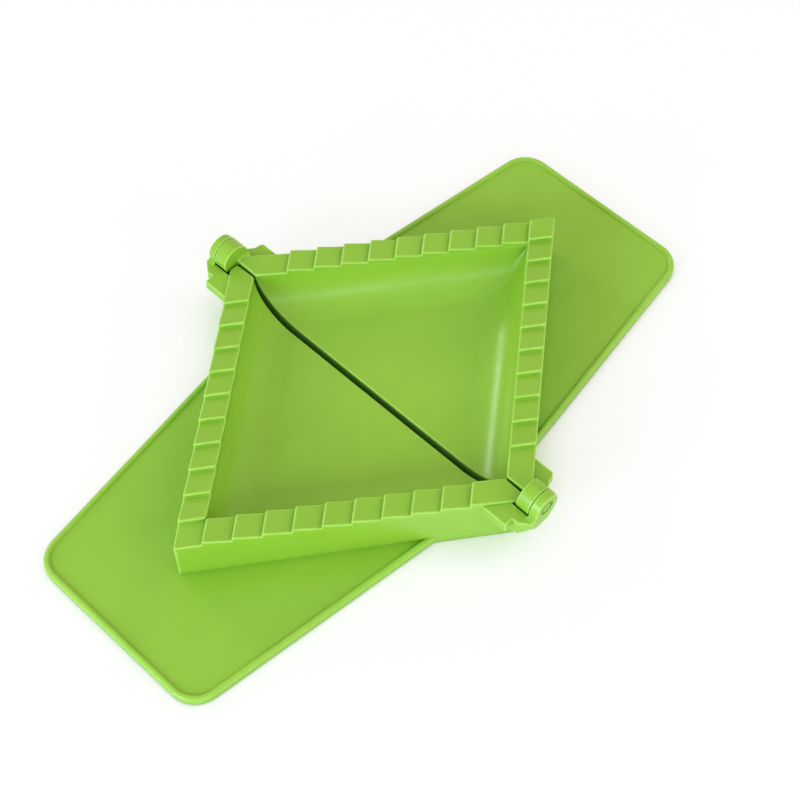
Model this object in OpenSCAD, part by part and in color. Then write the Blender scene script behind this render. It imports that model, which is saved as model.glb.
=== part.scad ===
// Folding press for triangular filled pastries, opened flat.
// Two moulded halves turn about one hinge line: each is a shallow three-cornered
// cup with a shingled crimping rim, moulded in one with a tapered handle plate.
// X runs along the hinge, +Z is up, and the table under the hinge's middle is the origin.

/* [Cup] */
// Length of the hinge line, from rim corner to rim corner
hinge_len = 120; // [100:1:150]
// Distance from the hinge line to the rim's far corner
cup_reach = 78.8; // [70:0.2:85]
// Width of the crimping rim, square across it
rim_w = 7.55; // [6.5:0.05:8.5]
// Mean height of the crimping rim above the table
rim_h = 17.9; // [16:0.1:22]
// Height of the cup's floor above the table
floor_h = 5.3; // [4.5:0.1:6]
// Radius between the cup's wall and its floor
fillet_r = 12.2; // [8:0.1:12.6]
// Wall of the moulding
wall_t = 2; // [1.6:0.1:2.2]

/* [Shingles] */
// Number of equal shingles between the corner shingle and the hinge shingle
shingle_n = 9; // [6:1:10]
// Length of one shingle, square across its ends
shingle_p = 7.9; // [6:0.05:8]
// Height of the step from one shingle to the next
step_h = 1.5; // [0.6:0.1:1.6]
// Space left for the dough between the closed rims
dough_gap = 2.2; // [1.8:0.1:3]

/* [Handle plates] */
// Width of a plate on the hinge line
plate_w = 93.2; // [84:0.2:98]
// Width of a plate at its outer end
plate_end_w = 65.2; // [50:0.2:80]
// Distance from the hinge line to a plate's outer end
plate_len = 103.8; // [98:0.2:130]
// Radius of a plate's outer corners
corner_r = 9; // [5:0.5:14]
// Thickness of a plate
plate_t = 2.4; // [2:0.1:3]
// Width of the low bead along a plate's edge
bead_w = 2; // [1.6:0.1:3]
// Height of the bead above the plate
bead_h = 0.8; // [0.5:0.1:1.2]

/* [Hinge] */
// Outer radius of the back half's knuckles
knuckle_r = 4.7; // [4:0.1:5]
// Length of one knuckle along the hinge
knuckle_len = 4.5; // [4:0.1:6]
// Distance from the rim's corner in to the knuckle's inner face
knuckle_in = 2; // [1.5:0.1:2.5]
// Thickness of the front half's ears
ear_t = 2.6; // [2:0.1:4]
// Outer radius of an ear's round end, next to the knuckle
ear_r = 4.7; // [4:0.1:5]
// Outer radius of an ear's round end at its free face
ear_face_r = 4.4; // [3.8:0.1:5]
// Radius of a hinge pin
pin_r = 1.7; // [1.2:0.1:2]
// Wall that closes a knuckle's bore on the cup's side
bore_wall = 0.8; // [0.6:0.1:1.2]
// Play between a pin and the knuckle's bore, on the radius
pin_play = 0.05; // [0.02:0.01:0.1]
// Thickness of the webs that carry the knuckles
web_t = 3.2; // [2:0.1:4]
// Thickness of the webs that carry the ears
ear_web_t = 3.4; // [2.4:0.1:4]
// Height of the arm between an ear's leg and its web
arm_t = 5.7; // [5:0.1:6]
// Radius of the hollow corner between the rim's end tile and a knuckle
ramp_r = 1.2; // [0.8:0.1:2]
// Gap left between hinge parts that pass each other
side_gap = 0.2; // [0.15:0.05:0.5]

/* [Seam] */
// Half of the gap between the halves at the rim
seam_top = 0.3; // [0.2:0.05:0.5]
// Half of the gap between the halves at the cup's floor
seam_floor = 1; // [0.6:0.1:1.6]
// Length of the solid end behind each rim corner, where the hinge parts stand
end_block = 9; // [7:0.5:12]

/* [Hidden] */
$fn = 64;
lime = "yellowgreen";
far = 400;

// Plan of one half: its hinge side on y = 0, its far corner on +Y
rim_a = hinge_len / 2;
lean = atan2(cup_reach, rim_a);
wall_dist = rim_a * sin(lean);
function x_on(inset, y) = (wall_dist - inset - y * cos(lean)) / sin(lean);
function y_on(inset) = (wall_dist - inset) / cos(lean);

// Heights
axis_z = rim_h + dough_gap / 2;
low_z = rim_h - step_h / 2;
high_z = rim_h + step_h / 2;
roof_z = low_z - wall_t;

// Places along the hinge, on the right-hand side
knuckle_x = rim_a - knuckle_in;
knuckle_end = knuckle_x + knuckle_len;
ear_x = knuckle_end + side_gap;
ear_end = ear_x + ear_t;
rim_cut = knuckle_x - 0.3;
hollow_x = rim_a - end_block;
hollow_y = seam_floor + wall_t;
ramp_x = knuckle_x - ramp_r;
hinge_tile = 2 * wall_dist - rim_w - shingle_n * shingle_p;
ramp_z = high_z - step_h * (rim_a - ramp_x) * sin(lean) / hinge_tile - 0.1;

// Bracket webs that carry the ears and knuckles
web_top = rim_h - 1.7;
web_y = 11.1;
ear_web_top = low_z;
web_gap = knuckle_r - 0.05;
arm_z = ear_web_top - arm_t;
arm_y = 8.3;
leg_y = 5.8;
leg_z = arm_z + 1.2;
floor_top = axis_z - knuckle_r - 0.4;

// Draft of the seam faces
seam_lean = atan2(seam_floor - seam_top, rim_h - floor_h);

// Top line of a half's shingles against the distance from the other wall.
// way is 1 for a half whose shingles rise towards the far corner, -1 for its match.
function shingle_line(way) = let (
    near_hinge = 2 * wall_dist + 10,
    tip = rim_h - way * step_h / 2,
    crest = rim_h + way * step_h / 2
) concat(
    [[-5, tip], [rim_w, tip]],
    [for (k = [0 : shingle_n - 1]) each [
        [rim_w + k * shingle_p, crest],
        [rim_w + (k + 1) * shingle_p, tip]
    ]],
    [[rim_w + shingle_n * shingle_p, crest], [2 * wall_dist, tip], [near_hinge, tip]],
    [[near_hinge, 0], [-5, 0]]
);

// One straight side of the rim, right-hand side, solid down to the table
module rim_side(way) {
    intersection() {
        linear_extrude(far) polygon([[0, cup_reach], [rim_a, 0], [x_on(rim_w, 0) - 1, 0],
            [0, y_on(rim_w + 1)]]);
        translate([0, cup_reach, 0]) rotate([90, 0, lean - 90])
            linear_extrude(far, center = true) polygon(shingle_line(way));
    }
}

// Everything on the cup's side of a wall that stands inset from the rim's outer face,
// above a floor, with a round between the two
module trough(inset, floor_z, round_r) {
    difference() {
        translate([x_on(inset, 0), 0, floor_z]) rotate([0, 0, 90 - lean])
            translate([-far, -far / 2, 0]) cube([far, far, far]);
        difference() {
            translate([x_on(inset, 0), 0, floor_z]) rotate([0, 0, 90 - lean])
                translate([-round_r, -far / 2, -1]) cube([round_r + 1, far, round_r + 1]);
            translate([x_on(inset, 0), 0, floor_z]) rotate([0, 0, 90 - lean])
                translate([-round_r, far / 2, round_r]) rotate([90, 0, 0])
                    cylinder(h = far, r = round_r, $fn = 96);
        }
    }
}

module basin(inset, floor_z, round_r) {
    intersection() {
        trough(inset, floor_z, round_r);
        mirror([1, 0, 0]) trough(inset, floor_z, round_r);
    }
}

// Hollow underside: inside the skirt and the wall along the seam, below the rim's roof
// and the cup's shell
module underside() {
    difference() {
        intersection() {
            translate([0, 0, -1]) linear_extrude(roof_z + 1)
                polygon([[-x_on(wall_t, 0), 0], [x_on(wall_t, 0), 0], [0, y_on(wall_t)]]);
            translate([-hollow_x, hollow_y, -2]) cube([2 * hollow_x, far, far]);
        }
        basin(rim_w - wall_t, floor_h - wall_t, fillet_r + wall_t);
    }
}

// Plan of a handle plate, drawn inset from its edge
plate_lean = atan2((plate_w - plate_end_w) / 2, plate_len);
corner_x = plate_end_w / 2 + corner_r * tan(plate_lean) - corner_r / cos(plate_lean);
corner_y = plate_len - corner_r;
module plate_plan(inset) {
    r = corner_r - inset;
    side = inset / cos(plate_lean);
    for (s = [-1, 1]) translate([s * corner_x, corner_y]) circle(r);
    polygon([
        [-plate_w / 2 + side, 0],
        [plate_w / 2 - side, 0],
        [corner_x + r * cos(plate_lean), corner_y + r * sin(plate_lean)],
        [corner_x, plate_len - inset],
        [-corner_x, plate_len - inset],
        [-corner_x - r * cos(plate_lean), corner_y + r * sin(plate_lean)]
    ]);
}

// Plate with the low bead that runs along its edge
module handle_plate() {
    linear_extrude(plate_t) plate_plan(0);
    linear_extrude(plate_t + bead_h) difference() {
        plate_plan(0);
        plate_plan(bead_w);
    }
}

// A half without its hinge parts, far corner on +Y
module half_shell(way) {
    difference() {
        union() {
            handle_plate();
            rim_side(way);
            mirror([1, 0, 0]) rim_side(way);
            linear_extrude(rim_h - step_h) polygon([[-rim_a, 0], [rim_a, 0], [0, cup_reach]]);
        }
        basin(rim_w, floor_h, fillet_r);
        underside();
        // seam face, leaning away from the other half towards the table
        translate([0, seam_top, rim_h]) rotate([seam_lean, 0, 0])
            translate([-far / 2, -far, -far / 2]) cube([far, far, far]);
    }
}

// Everything above z = 0
module half_space() {
    translate([-far / 2, -far / 2, 0]) cube([far, far, far]);
}

// Back half's knuckle, right-hand side, far corner on +Y
module knuckle() {
    translate([knuckle_x, 0, axis_z]) rotate([0, 90, 0]) cylinder(h = knuckle_len, r = knuckle_r);
    // web between the cup's wall and the barrel
    translate([0, 0, web_top - web_t]) linear_extrude(web_t) polygon([
        [x_on(1, web_y), web_y], [rim_a - 2, web_y], [rim_a - 1.2, web_y - 0.9],
        [rim_a - 1, web_y - 2.7], [knuckle_end - 2, knuckle_r + 1.8],
        [knuckle_end, knuckle_r - 0.6], [knuckle_end, 2], [x_on(1, 2), 2]
    ]);
    // hollow corner from the rim's end tile up to the barrel
    difference() {
        intersection() {
            translate([ramp_x, 0, axis_z]) rotate([0, 90, 0])
                cylinder(h = ramp_r + 1, r = knuckle_r);
            translate([0, seam_top, 0]) cube([far, far, far]);
        }
        translate([ramp_x, -far / 2, ramp_z + ramp_r]) rotate([-90, 0, 0])
            cylinder(h = far, r = ramp_r, $fn = 96);
        translate([0, -far / 2, ramp_z + ramp_r]) cube([knuckle_x, far, far]);
    }
}

// Blind bore, open towards the ear
module knuckle_bore() {
    translate([knuckle_x + bore_wall, 0, axis_z]) rotate([0, 90, 0])
        cylinder(h = knuckle_len + 10, r = pin_r + pin_play);
}

// Front half's ear, right-hand side, drawn with the far corner on +Y: a round end on
// the hinge line, its leg, and the bracket that carries both off the cup's wall
module ear() {
    translate([ear_x, 0, axis_z]) rotate([0, 90, 0]) cylinder(h = ear_t, r1 = ear_r, r2 = ear_face_r);
    difference() {
        union() {
            // web beside the cup's wall
            translate([0, 0, ear_web_top - ear_web_t]) linear_extrude(ear_web_t) polygon([
                [x_on(1, web_y), web_y], [rim_a, web_y], [rim_a, web_gap], [x_on(1, web_gap), web_gap]
            ]);
            // deeper arm between the web's outer end and the leg
            translate([0, 0, arm_z]) linear_extrude(arm_t) polygon([
                [rim_a - 0.1, web_gap], [rim_a - 0.1, arm_y], [rim_a + 2.1, arm_y],
                [rim_a + 3.4, arm_y - 1], [ear_end, leg_y], [ear_end, 3.9], [ear_x, 3.9], [ear_x, web_gap]
            ]);
            // floor under the knuckle
            translate([rim_cut - 1, 1, leg_z]) cube([ear_x - rim_cut + 2, web_gap, floor_top - leg_z]);
            // leg, narrowing below the round end on the back half's side
            translate([ear_x, 0, 0]) rotate([90, 0, 90]) linear_extrude(ear_t) polygon([
                [0, axis_z], [0.35 - ear_face_r, axis_z - 1.7], [1.5 - ear_face_r, leg_z + 2.1],
                [-0.8, leg_z], [leg_y, leg_z], [leg_y, ear_web_top], [ear_face_r - 0.2, axis_z - 1]
            ]);
        }
        // slanting underside of the arm's outer corner
        translate([ear_end, leg_y, leg_z + 3]) rotate([0, 109, 31]) half_space();
    }
}

module ear_bore() {
    translate([ear_x - 2, 0, axis_z]) rotate([0, 90, 0]) cylinder(h = ear_t + 5, r = pin_r);
}

module hinge_pin() {
    start = knuckle_x + bore_wall + 0.2;
    translate([start, 0, axis_z]) rotate([0, 90, 0]) cylinder(h = ear_end - 0.3 - start, r = pin_r);
}

// Front half: shingles rise towards the far corner, ears outside the knuckles
module front_half() {
    color(lime) mirror([0, 1, 0]) difference() {
        union() {
            difference() {
                half_shell(1);
                for (s = [0, 1]) mirror([s, 0, 0])
                    translate([rim_cut, -5, -1]) cube([far, 20, far]);
            }
            for (s = [0, 1]) mirror([s, 0, 0]) ear();
        }
        for (s = [0, 1]) mirror([s, 0, 0]) ear_bore();
    }
}

// Back half: the matching shingles, and the knuckles
module back_half() {
    color(lime) difference() {
        union() {
            half_shell(-1);
            for (s = [0, 1]) mirror([s, 0, 0]) knuckle();
        }
        for (s = [0, 1]) mirror([s, 0, 0]) knuckle_bore();
    }
}

module hinge_pin_left() {
    color(lime) mirror([1, 0, 0]) hinge_pin();
}

module hinge_pin_right() {
    color(lime) hinge_pin();
}

front_half();
back_half();
hinge_pin_left();
hinge_pin_right();
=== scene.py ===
import math

import bmesh
import bpy
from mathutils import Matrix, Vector


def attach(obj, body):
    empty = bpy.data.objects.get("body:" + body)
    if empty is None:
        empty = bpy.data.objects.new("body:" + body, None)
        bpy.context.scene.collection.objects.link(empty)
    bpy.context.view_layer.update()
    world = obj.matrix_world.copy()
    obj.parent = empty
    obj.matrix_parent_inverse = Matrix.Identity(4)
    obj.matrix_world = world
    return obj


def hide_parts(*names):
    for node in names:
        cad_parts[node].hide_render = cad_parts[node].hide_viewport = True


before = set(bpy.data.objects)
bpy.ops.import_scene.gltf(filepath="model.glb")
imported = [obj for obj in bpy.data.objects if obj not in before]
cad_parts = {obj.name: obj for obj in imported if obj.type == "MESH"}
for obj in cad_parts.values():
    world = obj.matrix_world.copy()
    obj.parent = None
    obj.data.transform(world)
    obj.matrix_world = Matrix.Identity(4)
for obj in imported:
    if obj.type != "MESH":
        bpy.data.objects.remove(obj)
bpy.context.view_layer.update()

# Front half: one injection moulding of lime polypropylene, a three-cornered cup whose
# crimping rim is stepped like shingles, on a tapered handle plate with a round bead along
# its edge. Sizes are in millimetres, and a half is drawn with its far corner on +Y.
MM = 0.001
HINGE_HALF, CUP_REACH = 60.0, 78.8
RIM_W, RIM_H, FLOOR_H, FILLET_R, WALL = 7.55, 17.9, 5.3, 12.2, 2.0
SHINGLES, SHINGLE_P, STEP_H = 9, 7.9, 1.5
PLATE_W, PLATE_END_W, PLATE_LEN, CORNER_R, PLATE_T = 93.2, 65.2, 103.8, 9.0, 2.4
BEAD_W, BEAD_H, BEAD_HIGHLIGHT = 2.0, 0.8, 0.45
SEAM_TOP, SEAM_FLOOR, END_BLOCK = 0.3, 1.0, 9.0
RIM_CUT = 57.7
EASE, CREST_R, BASE_R, FOOT_EASE = 0.45, 0.5, 0.2, 0.35
SEAM_EASE, APEX_R, CUP_CORNER_R, HOLLOW_CORNER_R = 0.42, 0.7, 1.6, 0.5
BOWL_TOP, BOWL_ROWS, HOLLOW_ROWS, ROUND_POINTS, CORNER_TURNS, BEAD_STEPS = 16.4, 18, 16, 5, 10, 9
NEAR = 1e-4

LEAN = math.atan2(CUP_REACH, HINGE_HALF)
SL, CL = math.sin(LEAN), math.cos(LEAN)
WALL_DIST = HINGE_HALF * SL
SEAM_DRAFT = (SEAM_FLOOR - SEAM_TOP) / (RIM_H - FLOOR_H)
PLATE_LEAN = math.atan2((PLATE_W - PLATE_END_W) / 2, PLATE_LEN)
CORNER_X = PLATE_END_W / 2 + CORNER_R * math.tan(PLATE_LEAN) - CORNER_R / math.cos(PLATE_LEAN)
CORNER_Y = PLATE_LEN - CORNER_R
HOLLOW_X, HOLLOW_Y = HINGE_HALF - END_BLOCK, SEAM_FLOOR + WALL
ROOF_Z = RIM_H - STEP_H / 2 - WALL


def on_plan(u, v):
    """The x and y of a place u from the left wall's outer face and v from the right wall's."""
    return (u - v) / (2 * SL), (2 * WALL_DIST - u - v) / (2 * CL)


def seam_y(z):
    """The seam face's distance from the hinge line, which its draft widens downwards."""
    return SEAM_TOP + (RIM_H - z) * SEAM_DRAFT


class Moulding:
    """Faces of one moulding, welded where their corners meet. eased marks an edge whose colour is lightened
    as a painted highlight.
    """

    def __init__(self):
        self.points, self.known, self.faces = [], {}, []

    def corner(self, p):
        """The index of a corner, which is the same for all corners at one place."""
        key = tuple(round(c, 3) for c in p)
        if key not in self.known:
            self.known[key] = len(self.points)
            self.points.append(p)
        return self.known[key]

    def face(self, loop, eased=0.0, mirrored=True):
        """Adds a face and its mirror image in x. Corners that fall together become one."""
        ids = []
        for i in map(self.corner, loop):
            if i not in ids[-1:]:
                ids.append(i)
        while len(ids) > 1 and ids[0] == ids[-1]:
            ids.pop()
        if len(set(ids)) > 2:
            self.faces.append((ids, eased))
        if mirrored:
            self.face([(-x, y, z) for x, y, z in loop], eased, False)

    def strip(self, row, other, eased=0.0):
        """Adds the faces between two rows that have the same number of corners."""
        for k in range(len(row) - 1):
            self.face([row[k], row[k + 1], other[k + 1], other[k]], eased)

    def build(self, name, flip=1):
        """Makes the piece, turned to the front where flip is -1."""
        mesh = bpy.data.meshes.new(name)
        bm = bmesh.new()
        edge_highlight = bm.faces.layers.float.new("eased")
        corners = [bm.verts.new((x * MM, y * flip * MM, z * MM)) for x, y, z in self.points]
        for ids, eased in self.faces:
            bm.faces.new([corners[i] for i in ids])[edge_highlight] = eased
        bmesh.ops.remove_doubles(bm, verts=bm.verts, dist=0.003 * MM)
        bmesh.ops.recalc_face_normals(bm, faces=bm.faces)
        bm.to_mesh(mesh)
        bm.free()
        return finished(bpy.data.objects.new(name, mesh))


# The mould's faces are satin, flow through the gate leaves faint clouds, washing leaves hair
# scratches, eased edges are painted paler as a painted highlight, and gaps and corners are painted dark
# green as painted shade.
LIME = (0.290, 0.535, 0.045, 1)
LIME_CLOUD = (0.262, 0.500, 0.036, 1)
LIME_EDGE_HIGHLIGHT = (0.385, 0.665, 0.110, 1)
LIME_GAP_SHADE = (0.030, 0.200, 0.001, 1)


def lime_plastic(name, tint=1.0):
    """Colour, gloss and grain of the plastic. tint darkens a second batch."""
    material = bpy.data.materials.new(name)
    material.use_nodes = True
    tree = material.node_tree
    new, link = tree.nodes.new, tree.links.new
    shader = tree.nodes["Principled BSDF"]
    place = new("ShaderNodeTexCoord")

    def noise(scale, detail, rough=0.5, stretch=(1, 1, 1)):
        turn = new("ShaderNodeMapping")
        turn.inputs["Scale"].default_value = stretch
        texture = new("ShaderNodeTexNoise")
        texture.inputs["Scale"].default_value = scale
        texture.inputs["Detail"].default_value = detail
        texture.inputs["Roughness"].default_value = rough
        link(place.outputs["Object"], turn.inputs["Vector"])
        link(turn.outputs["Vector"], texture.inputs["Vector"])
        return texture.outputs["Fac"]

    def spread(value, low, high, to_low=0.0, to_high=1.0):
        ramp = new("ShaderNodeMapRange")
        ends = {"From Min": low, "From Max": high, "To Min": to_low, "To Max": to_high}
        for socket, number in ends.items():
            ramp.inputs[socket].default_value = number
        link(value, ramp.inputs["Value"])
        return ramp.outputs["Result"]

    def blend(factor, first, second):
        mix = new("ShaderNodeMix")
        mix.data_type = "RGBA"
        link(factor, mix.inputs["Factor"])
        for socket, colour in ((mix.inputs["A"], first), (mix.inputs["B"], second)):
            if isinstance(colour, tuple):
                socket.default_value = [c * tint for c in colour[:3]] + [1]
            else:
                link(colour, socket)
        return mix.outputs["Result"]

    # colour: faint clouds, then eased edges lightened as a painted highlight, then painted shade in narrow
    # gaps and corners, which don't shine
    clouds = spread(noise(38, 3, 0.6, (1, 0.45, 1)), 0.35, 0.7)
    eased = new("ShaderNodeAttribute")
    eased.attribute_name = "eased"
    edge_highlight = new("ShaderNodeMath")
    edge_highlight.operation = "MULTIPLY"
    link(eased.outputs["Fac"], edge_highlight.inputs[0])
    link(spread(noise(260, 4), 0.3, 0.6, 0.45, 0.9), edge_highlight.inputs[1])
    body = blend(edge_highlight.outputs[0], blend(clouds, LIME, LIME_CLOUD), LIME_EDGE_HIGHLIGHT)
    # painted shade: the base colour turns dark green where the open-sky test finds surfaces close by
    crevice_shade = new("ShaderNodeAmbientOcclusion")
    crevice_shade.samples = 4
    crevice_shade.inputs["Distance"].default_value = 0.005
    link(blend(spread(crevice_shade.outputs["AO"], 0.12, 0.55), LIME_GAP_SHADE, body), shader.inputs["Base Color"])
    link(spread(crevice_shade.outputs["AO"], 0.2, 0.6, 0, 0.5), shader.inputs["Specular IOR Level"])

    # gloss: satin patches and hair scratches
    scratches = spread(noise(900, 2, 0.4, (0.04, 1, 1)), 0.62, 0.72)
    rough = new("ShaderNodeMath")
    rough.operation = "MULTIPLY_ADD"
    link(scratches, rough.inputs[0])
    rough.inputs[1].default_value = 0.06
    link(spread(noise(70, 5, 0.65), 0.3, 0.7, 0.27, 0.38), rough.inputs[2])
    link(rough.outputs[0], shader.inputs["Roughness"])

    # surface: fine grain over the slow waves of a cooled moulding
    grain = new("ShaderNodeBump")
    grain.inputs["Strength"].default_value = 0.25
    grain.inputs["Distance"].default_value = 0.00004
    link(noise(3200, 2, 0.5), grain.inputs["Height"])
    waves = new("ShaderNodeBump")
    waves.inputs["Strength"].default_value = 0.5
    waves.inputs["Distance"].default_value = 0.0002
    link(noise(60, 1, 0.4), waves.inputs["Height"])
    link(waves.outputs["Normal"], grain.inputs["Normal"])
    link(grain.outputs["Normal"], shader.inputs["Normal"])
    shader.inputs["IOR"].default_value = 1.49
    shader.inputs["Subsurface Weight"].default_value = 0.25
    shader.inputs["Subsurface Radius"].default_value = (0.8, 1.0, 0.25)
    shader.inputs["Subsurface Scale"].default_value = 0.0012
    return material


moulded = lime_plastic("lime_polypropylene")


def finished(piece, crease=38):
    """Links a piece, gives it its material, and shades it smooth up to its creases with its
    large faces kept flat."""
    bpy.context.collection.objects.link(piece)
    piece.data.shade_smooth()
    piece.data.set_sharp_from_angle(angle=math.radians(crease))
    even = piece.modifiers.new("even", "WEIGHTED_NORMAL")
    even.keep_sharp = True
    piece.data.materials.append(moulded)
    return piece


def eased_line(corners):
    """A line of straight runs with round corners, as (u, z, nu, nz) with its normal.
    corners are (u, z, radius)."""
    line = []
    for (au, az, _), (bu, bz, radius), (cu, cz, _) in zip(corners, corners[1:], corners[2:]):
        a, c = Vector((bu - au, bz - az)).normalized(), Vector((cu - bu, cz - bz)).normalized()
        turn = a.x * c.y - a.y * c.x
        angle = math.atan2(turn, a.dot(c))
        reach = radius * math.tan(abs(angle) / 2)
        side = 1 if angle > 0 else -1
        normal = Vector((-a.y, a.x))
        middle = Vector((bu, bz)) - a * reach + normal * radius * side
        for k in range(ROUND_POINTS):
            t = angle * k / (ROUND_POINTS - 1)
            n = Vector((normal.x * math.cos(t) - normal.y * math.sin(t),
                        normal.x * math.sin(t) + normal.y * math.cos(t)))
            line.append((middle.x - n.x * radius * side, middle.y - n.y * radius * side, n.x, n.y))
    return line


def rim_line(way):
    """Top of the rim against the distance u from the other wall, its height at the far
    corner, and the last tile's height at any u. Each shingle rises towards the far corner
    where way is 1, and its match falls towards it where way is -1."""
    tip, crest = RIM_H - way * STEP_H / 2, RIM_H + way * STEP_H / 2
    first, second = (BASE_R, CREST_R) if way > 0 else (CREST_R, BASE_R)
    corners = [(0, tip, 0)]
    for k in range(SHINGLES + 1):
        corners += [(RIM_W + k * SHINGLE_P, tip, first), (RIM_W + k * SHINGLE_P, crest, second)]
    corners.append((2 * WALL_DIST, tip, 0))
    last_u, last_z, _ = corners[-2]
    slope = (tip - last_z) / (2 * WALL_DIST - last_u)
    return eased_line(corners), tip, lambda u: last_z + slope * (u - last_u)


def mitre(v, rho, z):
    """The turn of a line v inside the walls at the far corner, rounded by rho, from x = 0."""
    middle = (2 * WALL_DIST - 2 * (v + rho)) / (2 * CL)
    turns = [LEAN * k / (ROUND_POINTS - 1) for k in range(ROUND_POINTS)]
    return [(rho * math.sin(a), middle + rho * math.cos(a), z) for a in turns]


# steps round the seam's eased edge, as distances back and down, and angles round the rim's
CAP = [(SEAM_EASE * (1 - math.cos(a)), SEAM_EASE * (1 - math.sin(a))) for a in
       (math.radians(b) for b in (90, 60, 30, 0))]
ROUND = [math.radians(b) for b in (0, 22.5, 45, 67.5, 90)]


def half_moulding(way, rim_cut=None):
    """One half: rim, cup, handle plate and hollow underside. Where rim_cut is given, the
    rim ends there, which leaves room for the other half's knuckle."""
    skin = Moulding()
    line, tip, last_tile = rim_line(way)

    def cap(v, z_of, n, cut):
        """End of a row at the seam, or at the cut corner of the rim, with its edge eased."""
        ends = []
        for back, down in CAP:
            vk = v - n[0] * down
            if cut == "corner":
                x, y = rim_cut - back, seam_y(RIM_H) + back
                z = z_of(WALL_DIST + x * SL - y * CL) - down
            elif cut:
                x = rim_cut - back
                y = (WALL_DIST - vk - x * SL) / CL
                z = z_of(vk + 2 * SL * x) - n[1] * down
            else:
                z = z_of(2 * WALL_DIST - vk) - n[1] * down
                y = seam_y(z) + back
                x = (WALL_DIST - vk - y * CL) / SL
            ends.append((x, y, z))
        return ends

    # rows across the rim: inset from the outer wall, drop below the top, and the normal.
    # split is the inset of the row that ends where the rim's cut meets the seam
    split = (2 * WALL_DIST - 2 * SL * rim_cut) / 2 - CL * SEAM_TOP if rim_cut else -1
    rows = [(EASE * (1 - math.cos(a)), EASE * (1 - math.sin(a)), (-math.cos(a), math.sin(a)))
            for a in ROUND]
    if rim_cut:
        rows.append((split, 0, (0, 1)))
    rows += [(RIM_W - EASE * (1 - math.cos(a)), EASE * (1 - math.sin(a)), (math.cos(a), math.sin(a)))
             for a in reversed(ROUND)]
    rim = []
    for v, drop, n in rows:
        curve = [(u - drop * nu, z - drop * nz) for u, z, nu, nz in line]
        before, start = (0, tip - drop), None
        for u, z in curve:
            if start is None and u > v + NEAR:
                start = before[1] + (v - before[0]) / (u - before[0]) * (z - before[1])
            before = (u, z)
        points = mitre(v, max(APEX_R - v, 0), start)
        passed = False
        for u, z in curve:
            passed = passed or u > v + NEAR
            x, y = on_plan(u, v) if passed else on_plan(v, v)
            points.append((x, y, z if passed else start))
        cut = rim_cut and ("corner" if v == split else v < split)
        ends = cap(v, lambda u, d=drop: last_tile(u) - d, n, cut)
        rim.append((points, ends))
    drops = [drop for _, drop, _ in rows]
    # the rim's eased edges and the shingles' crests are marked eased, which paints a highlight on them
    for (row, ends), (other, other_ends), on_edge in zip(rim, rim[1:], map(max, drops, drops[1:])):
        whole, other_whole = row + ends[:1], other + other_ends[:1]
        for k in range(len(whole) - 1):
            corner, point = divmod(k - (ROUND_POINTS - 1), ROUND_POINTS)
            in_round = point and 0 <= corner < 2 * (SHINGLES + 1)
            on_crest = in_round and corner % 2 == (0 if way < 0 else 1)
            skin.face([whole[k], whole[k + 1], other_whole[k + 1], other_whole[k]],
                      1.0 if on_edge or on_crest else 0.0)
        skin.strip(ends, other_ends, 1.0)

    # the cup: a quarter round from the rim's inner face down to the floor, whose far corner
    # is sharp at the top and rounds off over the first five rows
    low = math.asin((FLOOR_H + FILLET_R - BOWL_TOP) / FILLET_R)
    bowl = []
    for k in range(BOWL_ROWS + 1):
        a = low + (math.pi / 2 - low) * k / BOWL_ROWS
        v = RIM_W + (FILLET_R * (1 - math.cos(a)) if k else 0)
        z = FLOOR_H + FILLET_R * (1 - math.sin(a))
        rho = CUP_CORNER_R * min(1, k / 5) ** 1.5
        n = (math.cos(a), math.sin(a)) if k else (1, 0)
        bowl.append((mitre(v, rho, z), cap(v, lambda u, z=z: z, n, None)))
    inner, inner_ends = rim[-1]
    top, top_ends = bowl[0]
    skin.face(inner + inner_ends[:1] + top_ends[:1] + top[::-1])
    skin.strip(inner_ends, top_ends, 1.0)
    for (row, ends), (other, other_ends) in zip(bowl, bowl[1:]):
        skin.strip(row + ends[:1], other + other_ends[:1])
        skin.strip(ends, other_ends, 1.0)
    row, ends = bowl[-1]
    side = row + ends[:1]
    skin.face(side + [(-x, y, z) for x, y, z in side[::-1]], mirrored=False)
    for a, b in zip(ends, ends[1:]):
        skin.face([a, b, (-b[0], b[1], b[2]), (-a[0], a[1], a[2])], 1.0, False)

    # the handle plate's edge, from its underside round the bead to the plate's top
    bead_r, bead_z = BEAD_W / 2, PLATE_T + BEAD_H - BEAD_W / 2
    inner_a = math.pi - math.asin((PLATE_T - bead_z) / bead_r)
    edge_rows = [(FOOT_EASE, 0), (0.1, 0.1), (0, FOOT_EASE)]
    bead_start = len(edge_rows)
    edge_rows += [(bead_r * (1 - math.cos(a)), bead_z + bead_r * math.sin(a)) for a in
                  (inner_a * k / BEAD_STEPS for k in range(BEAD_STEPS + 1))]

    def plate_row(inset, z):
        """The plate's outline at one inset, from the cup's wall round the corner to x = 0."""
        span = PLATE_W / 2 * math.cos(PLATE_LEAN) - inset
        c, s = math.cos(PLATE_LEAN), math.sin(PLATE_LEAN)
        det = c * CL - s * SL
        meet = ((span * CL - s * WALL_DIST) / det, (c * WALL_DIST - span * SL) / det, z)
        r = CORNER_R - inset
        turn = [PLATE_LEAN + (math.pi / 2 - PLATE_LEAN) * k / CORNER_TURNS for k in range(CORNER_TURNS + 1)]
        corner = [(CORNER_X + r * math.cos(a), CORNER_Y + r * math.sin(a), z) for a in turn]
        return [meet] + corner + [(0, PLATE_LEN - inset, z)]

    # the bead's outer side and its top are lightened as a painted highlight
    plate = [plate_row(*row) for row in edge_rows]
    for k, (row, other) in enumerate(zip(plate, plate[1:])):
        skin.strip(row, other, BEAD_HIGHLIGHT if bead_start <= k < BEAD_STEPS else 0.0)

    def mirrored(points):
        return [(-x, y, z) for x, y, z in reversed(points)]

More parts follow.
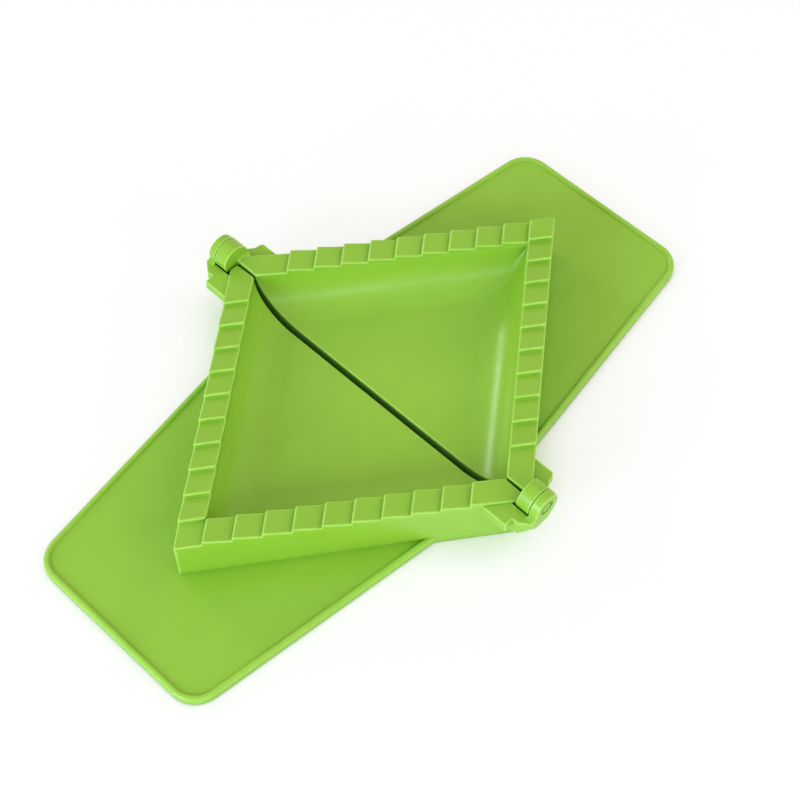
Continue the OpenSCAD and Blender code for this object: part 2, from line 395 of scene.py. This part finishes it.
    # outer walls of the cup, their eased edge at the far corner, and the plate's top
    outer, outer_ends = rim[0]
    foot = mitre(0, APEX_R, PLATE_T)
    floor_ends = cap(0, lambda u: 0, (-1, 0), bool(rim_cut))
    skin.strip(outer[:ROUND_POINTS], foot, 1.0)
    wall_top = outer[ROUND_POINTS - 1:] + outer_ends[:1]
    skin.face(wall_top + floor_ends[:1] + [row[0] for row in plate] + foot[-1:])
    skin.strip(outer_ends, floor_ends, 1.0)
    skin.face(plate[-1] + mirrored(plate[-1]) + mirrored(foot)[:-1] + foot, mirrored=False)

    # hollow underside: skirt, roof under the rim, and the cup's shell
    shell_r, shell_z = FILLET_R + WALL, FLOOR_H - WALL
    low = math.asin((shell_z + shell_r - ROOF_Z) / shell_r)
    corner_v = WALL_DIST - SL * HOLLOW_X - CL * HOLLOW_Y
    under = [(WALL, 0), (WALL, ROOF_Z), (corner_v, ROOF_Z)]
    for k in range(HOLLOW_ROWS + 1):
        a = low + (math.pi / 2 - low) * k / HOLLOW_ROWS
        under.append((RIM_W - WALL + shell_r * (1 - math.cos(a)), shell_z + shell_r * (1 - math.sin(a))))
    hollow = []
    for v, z in under:
        points = mitre(v, HOLLOW_CORNER_R, z)
        if v <= corner_v:
            end = (HOLLOW_X, (WALL_DIST - v - HOLLOW_X * SL) / CL, z)
        else:
            end = ((WALL_DIST - v - HOLLOW_Y * CL) / SL, HOLLOW_Y, z)
        hollow.append(points + [end])
    for row, other in zip(hollow, hollow[1:]):
        skin.strip(row, other)
    skin.face(hollow[-1] + mirrored(hollow[-1]), mirrored=False)
    block_foot, middle_foot, seam_foot = (HOLLOW_X, HOLLOW_Y, 0), (0, HOLLOW_Y, 0), (0, seam_y(0), 0)
    skin.face([row[-1] for row in hollow[:3]] + [block_foot])
    shell_side = [block_foot] + [row[-1] for row in hollow[2:]]
    skin.face([middle_foot] + shell_side + mirrored(shell_side), mirrored=False)

    # seam face, the rim's cut corner, and the underside at the table
    bottom = [floor_ends[-1]]
    if rim_cut:
        corner_foot = (rim_cut, seam_y(0), 0)
        stop = [row[0] for row in rows].index(split)
        skin.face([corner_foot, floor_ends[-1]] + [ends[-1] for _, ends in rim[:stop + 1]])
        over = [ends[-1] for _, ends in rim[stop:]]
        bottom.append(corner_foot)
        seam_side = [corner_foot] + over
    else:
        seam_side = [floor_ends[-1]] + [ends[-1] for _, ends in rim]
    seam_side += [ends[-1] for _, ends in bowl]
    skin.face([seam_foot] + seam_side + mirrored(seam_side), mirrored=False)
    table_side = [block_foot, middle_foot, seam_foot] + bottom[::-1] + floor_ends[-2::-1]
    skin.face(hollow[0] + table_side + plate[0])
    return skin


front_cup = half_moulding(1, RIM_CUT).build("front_cup_and_handle", -1)
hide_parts("front_half")
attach(front_cup, "front")


# Front ears: moulded in one with the front cup, a flat web off the cup's wall whose outer
# end turns up into a round eye on the hinge line. The pin is pressed into the eye, and a
# ring is sunk round it in the end face.
AXIS_Z, KNUCKLE_R, KNUCKLE_X, KNUCKLE_LEN = 19.0, 4.7, 58.0, 4.5
EAR_X, EAR_T, EAR_R, EAR_FACE_R, PIN_R = 62.7, 2.6, 4.7, 4.4, 1.7
WEB_TOP, WEB_Y, WEB_GAP, WEB_T, ARM_T = RIM_H - STEP_H / 2, 11.1, 4.65, 3.4, 5.7
ARM_Y, LEG_Y, LEG_Z, SLOT_FLOOR = 8.3, 5.8, 12.65, 13.9
RING_R, RING_DEPTH, LEG_HOLLOW_R = 2.6, 0.6, 3.0
TURNS, VOXEL, EASING_PASSES, MELTED_CREASE = 96, 0.12, 6, 60
HIGHLIGHT_GAIN, HIGHLIGHT_START, HIGHLIGHT_MOST, HIGHLIGHT_SPREAD = 16, 0.6, 1.6, 0.85


def wall_x(inset, y):
    """The x of a line inset from the cup's outer wall, where it passes y."""
    return (WALL_DIST - inset - y * CL) / SL


def prism(near, far_end):
    """A closed form between two outlines that have the same number of corners."""
    skin = Moulding()
    for k in range(len(near)):
        skin.face([near[k - 1], near[k], far_end[k], far_end[k - 1]], mirrored=False)
    skin.face(near, mirrored=False)
    skin.face(far_end, mirrored=False)
    return skin


def plate_form(plan, low, high):
    """A flat form with the outline plan, from one height to the other."""
    return prism([(x, y, low) for x, y in plan], [(x, y, high) for x, y in plan])


def turned(profile, turns=TURNS):
    """A closed form round the hinge line. profile is a loop of (x, radius)."""
    skin = Moulding()
    angles = [2 * math.pi * k / turns for k in range(turns + 1)]
    rings = [[(x, r * math.cos(a), AXIS_Z + r * math.sin(a)) for a in angles] for x, r in profile]
    for row, other in zip(rings, rings[1:] + rings[:1]):
        for k in range(turns):
            skin.face([row[k], row[k + 1], other[k + 1], other[k]], mirrored=False)
    return skin


def melted(name, solids, side, flip, slant=None):
    """Melts the overlapping solids of one moulding together, eases their edges and marks
    the outward ones, on the right (side 1) or left (-1). slant is a plane that trims them."""
    raw = bpy.data.meshes.new(name + "_raw")
    bm = bmesh.new()
    for skin in solids:
        corners = [bm.verts.new((x * MM, y * MM, z * MM)) for x, y, z in skin.points]
        for ids, _ in skin.faces:
            bm.faces.new([corners[i] for i in ids])
    if slant:
        place, normal = slant
        bmesh.ops.bisect_plane(bm, geom=bm.verts[:] + bm.edges[:] + bm.faces[:], clear_outer=True,
                               plane_co=Vector(place) * MM, plane_no=Vector(normal))
        bmesh.ops.holes_fill(bm, edges=[e for e in bm.edges if e.is_boundary])
    for v in bm.verts:
        v.co.x, v.co.y = v.co.x * side, v.co.y * flip
    bmesh.ops.recalc_face_normals(bm, faces=bm.faces)
    bm.to_mesh(raw)
    bm.free()
    piece = bpy.data.objects.new(name, raw)
    bpy.context.collection.objects.link(piece)
    melt = piece.modifiers.new("melt", "REMESH")
    melt.mode = "VOXEL"
    melt.voxel_size = VOXEL * MM
    ease = piece.modifiers.new("ease", "SMOOTH")
    ease.iterations = EASING_PASSES
    mesh = bpy.data.meshes.new_from_object(piece.evaluated_get(bpy.context.evaluated_depsgraph_get()))
    piece.modifiers.clear()
    piece.data = mesh
    bm = bmesh.new()
    bm.from_mesh(mesh)

    # a corner gets a painted highlight by how far it stands out from its neighbours, and passes some of it
    # on to them
    edge_highlight = bm.verts.layers.float.new("eased")
    for v in bm.verts:
        bend = [v.normal.dot((v.co - e.other_vert(v).co).normalized()) for e in v.link_edges]
        v[edge_highlight] = min(HIGHLIGHT_MOST, max(0, sum(bend) / len(bend) * HIGHLIGHT_GAIN - HIGHLIGHT_START))
    for _ in range(2):
        near = [max(e.other_vert(v)[edge_highlight] for e in v.link_edges) for v in bm.verts]
        for v, value in zip(bm.verts, near):
            v[edge_highlight] = max(v[edge_highlight], HIGHLIGHT_SPREAD * value)
    bm.to_mesh(mesh)
    bm.free()
    bpy.context.collection.objects.unlink(piece)
    return finished(piece, MELTED_CREASE)


def ear_solids():
    """Eye, leg, web and arm of an ear, and the floor of the slot under the knuckle."""
    ear_end, web_low, arm_z = EAR_X + EAR_T, WEB_TOP - WEB_T, WEB_TOP - ARM_T
    eye = turned([(EAR_X, PIN_R), (EAR_X, EAR_R), (ear_end, EAR_FACE_R), (ear_end, RING_R),
                  (ear_end - RING_DEPTH, RING_R), (ear_end - RING_DEPTH, PIN_R)])
    # the leg's outline leaves the bore free, runs out to the arm and comes back under the eye
    profile = [(LEG_HOLLOW_R * math.cos(a), AXIS_Z - LEG_HOLLOW_R * math.sin(a))
               for a in (math.radians(b) for b in range(165, 0, -25))]
    profile += [(EAR_FACE_R - 0.2, AXIS_Z - 1), (LEG_Y, WEB_TOP), (LEG_Y, LEG_Z), (-0.8, LEG_Z),
                (1.5 - EAR_FACE_R, LEG_Z + 2.1), (0.35 - EAR_FACE_R, AXIS_Z - 1.7)]
    leg = prism([(EAR_X, y, z) for y, z in profile], [(ear_end, y, z) for y, z in profile])
    web = plate_form([(wall_x(1, WEB_Y), WEB_Y), (HINGE_HALF, WEB_Y), (HINGE_HALF, WEB_GAP),
                      (wall_x(1, WEB_GAP), WEB_GAP)], web_low, WEB_TOP)
    arm = plate_form([(HINGE_HALF - 0.1, WEB_GAP), (HINGE_HALF - 0.1, ARM_Y), (HINGE_HALF + 2.1, ARM_Y),
                      (HINGE_HALF + 3.4, ARM_Y - 1), (ear_end, LEG_Y), (ear_end, 3.9), (EAR_X, 3.9),
                      (EAR_X, WEB_GAP)], arm_z, WEB_TOP)
    x0, x1, y1 = RIM_CUT - 1, EAR_X + 1, 1 + WEB_GAP
    slot_floor = plate_form([(x0, 1), (x1, 1), (x1, y1), (x0, y1)], LEG_Z, SLOT_FLOOR)
    return [eye, leg, web, arm, slot_floor]


# a slanting plane trims the arm's outer corner
ARM_SLANT = ((EAR_X + EAR_T, LEG_Y, LEG_Z + 3), (0.81, 0.487, -0.326))
for side, word in ((1, "right"), (-1, "left")):
    ear = melted("front_ear_" + word, ear_solids(), side, -1, ARM_SLANT)
    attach(ear, "front")


# Back half: moulded like the front one, with the matching shingles, so that the two rims
# mesh when it is folded over. Its rim runs out to the hinge's ends and carries the knuckles.
back_cup = half_moulding(-1).build("back_cup_and_handle")
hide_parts("back_half")
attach(back_cup, "back")


# Back knuckles: moulded in one with the back cup. A barrel turns on the pin just inside
# each ear; the rim's end tile sweeps up into it, and a thin web ties it to the wall.
RAMP_R, RAMP_SINK, RAMP_STEPS, ARC_STEPS = 1.2, 0.1, 10, 14
BORE_WALL, BORE_R, KNUCKLE_WEB_TOP, KNUCKLE_WEB_T = 0.8, PIN_R + 0.05, 16.2, 3.2
RAMP_X = KNUCKLE_X - RAMP_R
LAST_TILE = 2 * WALL_DIST - RIM_W - SHINGLES * SHINGLE_P
RAMP_Z = RIM_H + STEP_H / 2 - STEP_H * (HINGE_HALF - RAMP_X) * SL / LAST_TILE - RAMP_SINK


def knuckle_solids():
    """Barrel with its blind bore, web, and the ramp that sweeps the rim up to the barrel."""
    end = KNUCKLE_X + KNUCKLE_LEN
    blind = KNUCKLE_X + BORE_WALL
    barrel = turned([(KNUCKLE_X, 0.01), (KNUCKLE_X, KNUCKLE_R), (end, KNUCKLE_R), (end, BORE_R),
                     (blind, BORE_R), (blind, 0.01)])
    web = plate_form([(wall_x(1, WEB_Y), WEB_Y), (HINGE_HALF - 2, WEB_Y), (HINGE_HALF - 1.2, WEB_Y - 0.9),
                      (HINGE_HALF - 1, WEB_Y - 2.7), (end - 2, KNUCKLE_R + 1.8), (end, KNUCKLE_R - 0.6),
                      (end, 2), (wall_x(1, 2), 2)], KNUCKLE_WEB_TOP - KNUCKLE_WEB_T, KNUCKLE_WEB_TOP)
    ramp = Moulding()
    sections = []
    for k in range(RAMP_STEPS + 1):
        x = RAMP_X + k * (RAMP_R + 0.5) / RAMP_STEPS
        rise = RAMP_R - math.sqrt(max(RAMP_R ** 2 - (x - RAMP_X) ** 2, 0)) if x < KNUCKLE_X else RAMP_R
        height = RAMP_Z + rise
        stop = math.asin(min((height - AXIS_Z) / KNUCKLE_R, 1))
        start = -math.acos(SEAM_TOP / KNUCKLE_R)
        arc = [start + (stop - start) * j / ARC_STEPS for j in range(ARC_STEPS + 1)]
        sections.append([(x, KNUCKLE_R * math.cos(a), AXIS_Z + KNUCKLE_R * math.sin(a)) for a in arc]
                        + [(x, SEAM_TOP, height)])
    for row, other in zip(sections, sections[1:]):
        for k in range(len(row)):
            ramp.face([row[k - 1], row[k], other[k], other[k - 1]], mirrored=False)
    ramp.face(sections[0], mirrored=False)
    ramp.face(sections[-1], mirrored=False)
    return [barrel, web, ramp]


def clear_bores(cup):
    """Takes the two bores out of the cup's corners too, where these reach into the barrels."""
    start, end = KNUCKLE_X + BORE_WALL, HINGE_HALF + 1
    bm = bmesh.new()
    for side in (1, -1):
        core = turned([(start, 0.01), (start, BORE_R), (end, BORE_R), (end, 0.01)], TURNS // 2)
        corners = [bm.verts.new((side * x * MM, y * MM, z * MM)) for x, y, z in core.points]
        for ids, _ in core.faces:
            bm.faces.new([corners[i] for i in ids])
    bmesh.ops.remove_doubles(bm, verts=bm.verts, dist=0.02 * MM)
    bmesh.ops.recalc_face_normals(bm, faces=bm.faces)
    cores = bpy.data.objects.new("bore_cores", bpy.data.meshes.new("bore_cores"))
    bm.to_mesh(cores.data)
    bm.free()
    bpy.context.collection.objects.link(cores)
    cut = cup.modifiers.new("bores", "BOOLEAN")
    cut.operation, cut.solver, cut.object = "DIFFERENCE", "EXACT", cores
    even = cup.modifiers["even"]
    even.show_viewport = False
    mesh = bpy.data.meshes.new_from_object(cup.evaluated_get(bpy.context.evaluated_depsgraph_get()))
    even.show_viewport = True
    cup.modifiers.remove(cut)
    cup.data = mesh
    bpy.data.objects.remove(cores)


clear_bores(back_cup)
for side, word in ((1, "right"), (-1, "left")):
    knuckle = melted("back_knuckle_" + word, knuckle_solids(), side, 1)
    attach(knuckle, "back")


# Hinge pins: short pegs of the same plastic, pressed into the front ears from outside, and
# the back knuckles turn on them. The outer end, dimpled by its mould, stands in the ear's ring.
PIN_TINT, PIN_TURNS, PIN_END_GAP, PIN_SINK = 0.93, 48, 0.2, 0.1
pin_plastic = lime_plastic("lime_pin", PIN_TINT)


def add_pin(name, side):
    """A pin with both ends chamfered and a dimple in the outer one."""
    mesh = bpy.data.meshes.new(name)
    bm = bmesh.new()
    inner, outer = KNUCKLE_X + BORE_WALL + PIN_END_GAP, EAR_X + EAR_T - PIN_SINK
    profile = [(inner, 1.1), (inner + 0.15, 1.35), (inner + 0.6, PIN_R), (outer - 0.35, PIN_R),
               (outer - 0.12, PIN_R - 0.08), (outer, PIN_R - 0.3), (outer, 0.55), (outer - 0.2, 0.4)]
    angles = [2 * math.pi * k / PIN_TURNS for k in range(PIN_TURNS)]
    rings = [[bm.verts.new((side * x * MM, r * math.cos(a) * MM, (AXIS_Z + r * math.sin(a)) * MM))
              for a in angles] for x, r in profile]
    for row, other in zip(rings, rings[1:]):
        for k in range(PIN_TURNS):
            bm.faces.new([row[k - 1], row[k], other[k], other[k - 1]])
    bm.faces.new(rings[0])
    bm.faces.new(rings[-1])
    bmesh.ops.recalc_face_normals(bm, faces=bm.faces)
    bm.to_mesh(mesh)
    bm.free()
    pin = finished(bpy.data.objects.new(name, mesh))
    pin.data.materials[0] = pin_plastic
    return pin


for side, word in ((1, "right"), (-1, "left")):
    pin = add_pin("pin_" + word, side)
    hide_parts("hinge_pin_" + word)
    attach(pin, "front")


# Table and light: the press lies on a pale sheet under soft lamps, with the camera where
# the photograph had it. The sheet is lit up for the camera only, and less so in the gaps.
TABLE_SIZE, TABLE_Z = 8, -0.0002
bpy.ops.mesh.primitive_plane_add(size=TABLE_SIZE, location=(0, 0, TABLE_Z))
table = bpy.context.object
table.name = "table"
sheet = bpy.data.materials.new("pale_sheet")
sheet.use_nodes = True
nodes, join = sheet.node_tree.nodes, sheet.node_tree.links.new
paper = nodes["Principled BSDF"]
paper.inputs["Base Color"].default_value = (0.95, 0.95, 0.96, 1)
paper.inputs["Roughness"].default_value = 0.9
paper.inputs["Specular IOR Level"].default_value = 0.1
# painted shade: the camera's white is held back where the press stands close, in the gaps and round its
# foot
open_sky = nodes.new("ShaderNodeAmbientOcclusion")
open_sky.samples = 4
open_sky.inputs["Distance"].default_value = 0.02
fill = nodes.new("ShaderNodeMapRange")
for socket, number in {"From Min": 0.5, "From Max": 0.8, "To Min": 0, "To Max": 0.75}.items():
    fill.inputs[socket].default_value = number
seen = nodes.new("ShaderNodeLightPath")
share = nodes.new("ShaderNodeMath")
share.operation = "MULTIPLY"
white = nodes.new("ShaderNodeEmission")
mix = nodes.new("ShaderNodeMixShader")
join(open_sky.outputs["AO"], fill.inputs["Value"])
join(seen.outputs["Is Camera Ray"], share.inputs[0])
join(fill.outputs["Result"], share.inputs[1])
join(share.outputs[0], mix.inputs[0])
join(paper.outputs[0], mix.inputs[1])
join(white.outputs[0], mix.inputs[2])
join(mix.outputs[0], nodes["Material Output"].inputs["Surface"])
table.data.materials.append(sheet)

# warm room light, a cool key from the front, and lamps whose gleams lie along the cups' fillets
world = bpy.data.worlds.new("studio")
bpy.context.scene.world = world
world.use_nodes = True
air = world.node_tree.nodes["Background"]
air.inputs["Color"].default_value = (1, 0.93, 0.84, 1)
air.inputs["Strength"].default_value = 0.7
LAMP_DISTANCE = 1.2


def lamp(name, azimuth, elevation, size, power, colour, mirrored=True):
    """A square lamp aimed at the press. Where mirrored is False, no gloss shows it."""
    a, e = math.radians(azimuth), math.radians(elevation)
    back = Vector((math.sin(a) * math.cos(e), -math.cos(a) * math.cos(e), math.sin(e)))
    data = bpy.data.lights.new(name, "AREA")
    data.size, data.energy, data.color = size, power, colour
    shining = bpy.data.objects.new(name, data)
    shining.visible_glossy = mirrored
    shining.location = back * LAMP_DISTANCE
    shining.rotation_mode = "QUATERNION"
    shining.rotation_quaternion = (-back).to_track_quat("-Z", "Y")
    bpy.context.collection.objects.link(shining)


lamp("front_softbox", 0, 20, 0.5, 8.3, (0.74, 1, 1.04))
lamp("left_strip", -88, 19, 0.16, 2.1, (1, 1, 0.95))
lamp("camera_strip", 59, 36, 0.3, 1.2, (0.85, 0.97, 1))
lamp("right_softbox", 90, 20, 0.5, 2.4, (0.85, 1, 0.9), False)
lamp("back_softbox", 150, 45, 0.5, 2.1, (1, 1, 0.9), False)

# the camera, solved from the photograph in its 800 pixels
CAMERA_AZ, CAMERA_EL, CAMERA_D = math.radians(43.682), math.radians(57.126), 0.5085
LOOK_AT = Vector((0.004593, 0.005408, 0.0024))
FOCAL_PIXELS, FRAME_PIXELS, SENSOR = 1721.094, 800, 36
camera = bpy.data.objects.new("camera", bpy.data.cameras.new("camera"))
bpy.context.collection.objects.link(camera)
camera.data.sensor_width = SENSOR
camera.data.lens = FOCAL_PIXELS * SENSOR / FRAME_PIXELS
toward = Vector((math.sin(CAMERA_AZ) * math.cos(CAMERA_EL), -math.cos(CAMERA_AZ) * math.cos(CAMERA_EL),
                 math.sin(CAMERA_EL)))
camera.location = LOOK_AT + toward * CAMERA_D
camera.rotation_mode = "QUATERNION"
camera.rotation_quaternion = (-toward).to_track_quat("-Z", "Y")
camera.data.clip_start = 0.01
bpy.context.scene.camera = camera
bpy.context.scene.view_settings.view_transform = "Standard"
